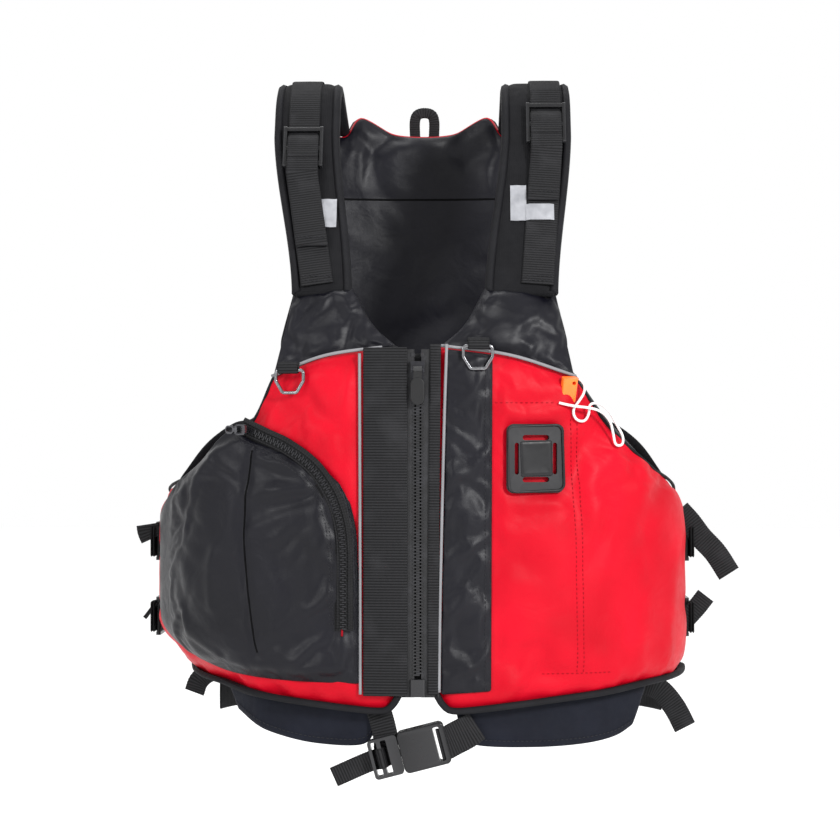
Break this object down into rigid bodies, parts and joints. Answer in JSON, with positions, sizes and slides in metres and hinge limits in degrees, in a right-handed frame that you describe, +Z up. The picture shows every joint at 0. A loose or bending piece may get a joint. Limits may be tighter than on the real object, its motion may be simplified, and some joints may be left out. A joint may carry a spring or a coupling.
{
  "type": "life jacket",
  "caption": "Front-zip paddling life jacket with foam panels, padded adjustable shoulder straps, side and waist adjusters, a bellows pocket, rings, a lash tab and a whistle.",
  "frame": {"origin": "on the wearer's torso axis, level with the bottom edge of the waist flaps", "axes": "+Z up along the wearer's spine, -Y out of the zipped front, +X towards the wearer's left"},
  "size_m": [0.489, 0.2766, 0.552],
  "materials": {
    "red_nylon": "plain-woven nylon with a soft sheen",
    "foam": "closed-cell foam",
    "black_nylon": "satin nylon",
    "strap_fabric": "padded knit with bound edges",
    "black_webbing": "ribbed polypropylene webbing",
    "mesh": "open knitted mesh",
    "neoprene": "nylon-faced neoprene",
    "reflective": "silver retroreflective tape",
    "zip": "moulded teeth on woven tape",
    "zip_metal": "black painted die casting",
    "rubber_pull": "matte",
    "ring_metal": "bright nickel plate",
    "black_plastic": "moulded acetal with a faint grain",
    "whistle_plastic": "gloss",
    "white_cord": "braided cord"
  },
  "bodies": {
    "root": {"back_cover": "red_nylon", "back_foam": "foam", "back_lining": "black_nylon", "back_mesh": "mesh", "back_waist_belt": "black_webbing", "hang_loop": "black_webbing", "lash_tab": "black_plastic", "left_dring_tab": "black_webbing", "left_front_cover": "red_nylon", "left_front_foam": "foam", "left_front_lining": "black_nylon", "left_lower_side_strap": "black_webbing", "left_shoulder_anchor": "black_webbing", "left_shoulder_pad": "strap_fabric", "left_shoulder_webbing": "black_webbing", "left_side_anchors": "black_webbing", "left_upper_side_strap": "black_webbing", "left_waist_flap": "neoprene", "left_waist_webbing": "black_webbing", "left_yoke": "black_nylon", "left_zip_chain": "zip", "left_zip_facing": "black_webbing", "left_zip_placket": "black_nylon", "pocket_zip_chain": "zip", "reflectors": "reflective", "right_dring_tab": "black_webbing", "right_front_cover": "red_nylon", "right_front_foam": "foam", "right_front_lining": "black_nylon", "right_lower_side_strap": "black_webbing", "right_pocket": "black_nylon", "right_shoulder_anchor": "black_webbing", "right_shoulder_pad": "strap_fabric", "right_shoulder_webbing": "black_webbing", "right_side_anchors": "black_webbing", "right_upper_side_strap": "black_webbing", "right_waist_flap": "neoprene", "right_waist_webbing": "black_webbing", "right_yoke": "black_nylon", "right_zip_chain": "zip", "right_zip_webbing": "black_webbing", "waist_buckle_socket": "black_plastic", "whistle_cord": "white_cord", "zip_bottom_box": "zip"},
    "front_slider": {"front_zip_slider": "zip_metal"},
    "front_pull": {"front_zip_pull": "rubber_pull"},
    "pocket_slider": {"pocket_zip_slider": "zip_metal"},
    "pocket_pull": {"pocket_zip_pull": "zip_metal"},
    "left_ring": {"left_dring": "ring_metal"},
    "right_ring": {"right_dring": "ring_metal"},
    "buckle_plug": {"waist_buckle_plug": "black_plastic"},
    "buckle_upper_arm": {"waist_buckle_upper_arm": "black_plastic"},
    "buckle_lower_arm": {"waist_buckle_lower_arm": "black_plastic"},
    "whistle": {"whistle": "whistle_plastic"},
    "left_shoulder_lock": {"left_shoulder_lock": "black_plastic"},
    "left_upper_side_lock": {"left_upper_side_lock": "black_plastic"},
    "left_lower_side_lock": {"left_lower_side_lock": "black_plastic"},
    "right_shoulder_lock": {"right_shoulder_lock": "black_plastic"},
    "right_upper_side_lock": {"right_upper_side_lock": "black_plastic"},
    "right_lower_side_lock": {"right_lower_side_lock": "black_plastic"}
  },
  "joints": [
    {"name": "front_zip_run", "type": "slide", "parent": "root", "child": "front_slider", "axis": [0, 0, -1], "range_m": [0, 0.222], "deforming": ["left_zip_chain", "right_zip_chain"]},
    {"name": "front_zip_pull_swing", "type": "hinge", "parent": "front_slider", "child": "front_pull", "pos_m": [0, -0.1418, 0.288], "axis": [-1, 0, 0], "range_deg": [0, 165]},
    {"name": "pocket_zip_run", "type": "slide", "parent": "root", "child": "pocket_slider", "axis": [0.7566, -0.6539, 0], "range_m": [0, 0.03], "deforming": ["pocket_zip_chain"]},
    {"name": "pocket_zip_pull_swing", "type": "hinge", "parent": "pocket_slider", "child": "pocket_pull", "pos_m": [-0.13798, -0.12525, 0.24263], "axis": [0, 0, 1], "range_deg": [0, 150]},
    {"name": "left_dring_swing", "type": "hinge", "parent": "root", "child": "left_ring", "pos_m": [0.045, -0.13706, 0.3055], "axis": [-0.9931, -0.117, 0], "range_deg": [0, 165]},
    {"name": "right_dring_swing", "type": "hinge", "parent": "root", "child": "right_ring", "pos_m": [-0.097, -0.12727, 0.2875], "axis": [-0.9677, 0.2521, 0], "range_deg": [0, 165]},
    {"name": "waist_buckle_release", "type": "slide", "parent": "root", "child": "buckle_plug", "axis": [-0.9681, 0, -0.2504], "range_m": [0, 0.022], "deforming": ["right_waist_webbing", "waist_buckle_upper_arm", "waist_buckle_lower_arm"]},
    {"name": "buckle_upper_arm_squeeze", "type": "hinge", "parent": "buckle_plug", "child": "buckle_upper_arm", "pos_m": [-0.01499, -0.133, 0.0083], "axis": [0, 1, 0], "range_deg": [0, 8], "stiffness_Nm_per_rad": 0.2},
    {"name": "buckle_lower_arm_squeeze", "type": "hinge", "parent": "buckle_plug", "child": "buckle_lower_arm", "pos_m": [-0.01069, -0.133, -0.00835], "axis": [0, -1, 0], "range_deg": [0, 8], "stiffness_Nm_per_rad": 0.2},
    {"name": "whistle_pull_out", "type": "slide", "parent": "root", "child": "whistle", "axis": [0.1026, -0.3263, 0.9397], "range_m": [0, 0.04], "deforming": ["whistle_cord"]},
    {"name": "left_shoulder_lock_lift", "type": "hinge", "parent": "root", "child": "left_shoulder_lock", "pos_m": [0.1, -0.04614, 0.47265], "axis": [1, 0, 0], "range_deg": [0, 25], "deforming": ["left_shoulder_webbing", "left_shoulder_anchor"]},
    {"name": "left_upper_side_lock_lift", "type": "hinge", "parent": "root", "child": "left_upper_side_lock", "pos_m": [0.2179, 0.016, 0.15], "axis": [0, 0, -1], "range_deg": [0, 25], "deforming": ["left_upper_side_strap", "left_side_anchors"]},
    {"name": "left_lower_side_lock_lift", "type": "hinge", "parent": "root", "child": "left_lower_side_lock", "pos_m": [0.2179, 0.016, 0.088], "axis": [0, 0, -1], "range_deg": [0, 25], "deforming": ["left_lower_side_strap", "left_side_anchors"]},
    {"name": "right_shoulder_lock_lift", "type": "hinge", "parent": "root", "child": "right_shoulder_lock", "pos_m": [-0.093, -0.05547, 0.45265], "axis": [1, 0, 0], "range_deg": [0, 25], "deforming": ["right_shoulder_webbing", "right_shoulder_anchor"]},
    {"name": "right_upper_side_lock_lift", "type": "hinge", "parent": "root", "child": "right_upper_side_lock", "pos_m": [-0.2179, 0.016, 0.15], "axis": [0, 0, 1], "range_deg": [0, 25], "deforming": ["right_upper_side_strap", "right_side_anchors"]},
    {"name": "right_lower_side_lock_lift", "type": "hinge", "parent": "root", "child": "right_lower_side_lock", "pos_m": [-0.2179, 0.016, 0.088], "axis": [0, 0, 1], "range_deg": [0, 25], "deforming": ["right_lower_side_strap", "right_side_anchors"]}
  ]
}
